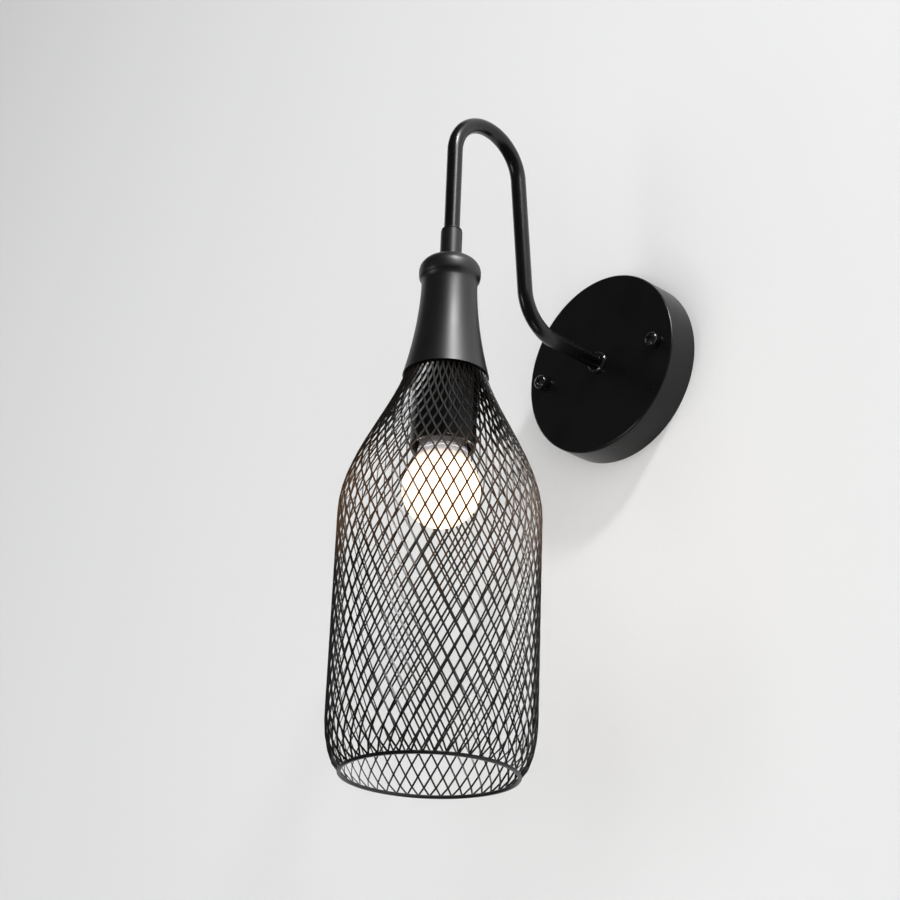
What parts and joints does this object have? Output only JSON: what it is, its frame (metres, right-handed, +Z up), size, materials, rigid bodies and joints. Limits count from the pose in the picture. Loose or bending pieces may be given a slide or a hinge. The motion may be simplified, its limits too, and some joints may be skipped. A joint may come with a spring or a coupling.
{
  "type": "cage wall light",
  "caption": "Wall light with a bottle-shaped wire-mesh shade hanging from a hooked tube arm on a round wall canopy, with a globe bulb in a lamp holder inside the mesh.",
  "frame": {"origin": "the middle of the canopy, on the wall plane", "axes": "+Z up, +Y into the wall, +X to the right as seen from the room; the light stands out towards -Y"},
  "size_m": [0.12, 0.2132, 0.4237],
  "materials": {
    "canopy_black": "matt powder coat",
    "gloss_black": "gloss lacquer",
    "satin_black": "satin powder coat",
    "mesh_black": "satin powder coat",
    "zinc": "bright zinc plate",
    "green_zinc": "green dyed zinc plate",
    "brass": "plain brass",
    "white_plastic": "matt",
    "holder_black": "moulded gloss",
    "block_white": "matt ceramic-like moulding",
    "bulb_grey": "satin",
    "bulb_nickel": "nickel plate",
    "bulb_insulator": "glassy black",
    "board_white": "white solder mask",
    "globe_opal": "opal, lit warm white",
    "lead_black": "satin insulation",
    "lead_white": "satin insulation",
    "lead_green": "satin insulation",
    "connector_orange": "satin"
  },
  "bodies": {
    "root": {"canopy": "canopy_black", "canopy_screws": "gloss_black", "wall_strap": "zinc", "canopy_strap": "zinc", "strap_rivet": "zinc", "strap_nuts": "zinc", "ground_screw": "green_zinc", "arm_tube": "satin_black", "arm_ferrule": "gloss_black", "arm_lock_washer": "zinc", "earth_lug": "brass", "arm_lock_nut": "zinc", "tube_bushing": "white_plastic", "arm_collar": "satin_black", "neck_nipple": "zinc", "neck": "satin_black", "neck_nut": "zinc", "holder_nut": "zinc", "holder_cap": "holder_black", "holder_body": "holder_black", "terminal_block": "block_white", "terminal_plates": "brass", "terminal_screws": "brass", "holder_rivets": "brass", "screw_shell": "brass", "centre_contact": "brass", "cage_mesh": "mesh_black", "cage_band": "satin_black", "cage_rim": "satin_black", "live_lead": "lead_black", "neutral_lead": "lead_white", "earth_lead": "lead_green", "wire_connectors": "connector_orange"},
    "bulb_slide": {"bulb_contact": "zinc"},
    "bulb": {"bulb_insulator": "bulb_insulator", "bulb_screw_base": "bulb_nickel", "bulb_collar": "bulb_grey", "bulb_board": "board_white", "bulb_globe": "globe_opal"}
  },
  "joints": [
    {"name": "bulb_travel", "type": "slide", "parent": "root", "child": "bulb_slide", "axis": [0, 0, -1], "range_m": [0, 0.01996]},
    {"name": "bulb_turn", "type": "hinge", "parent": "bulb_slide", "child": "bulb", "pos_m": [0, -0.155, -0.128], "axis": [0, 0, -1], "range_deg": [0, 1980]}
  ],
  "couplings": [
    {"joint": "bulb_turn", "follows": "bulb_travel", "rad_per_m": 1731.4}
  ]
}
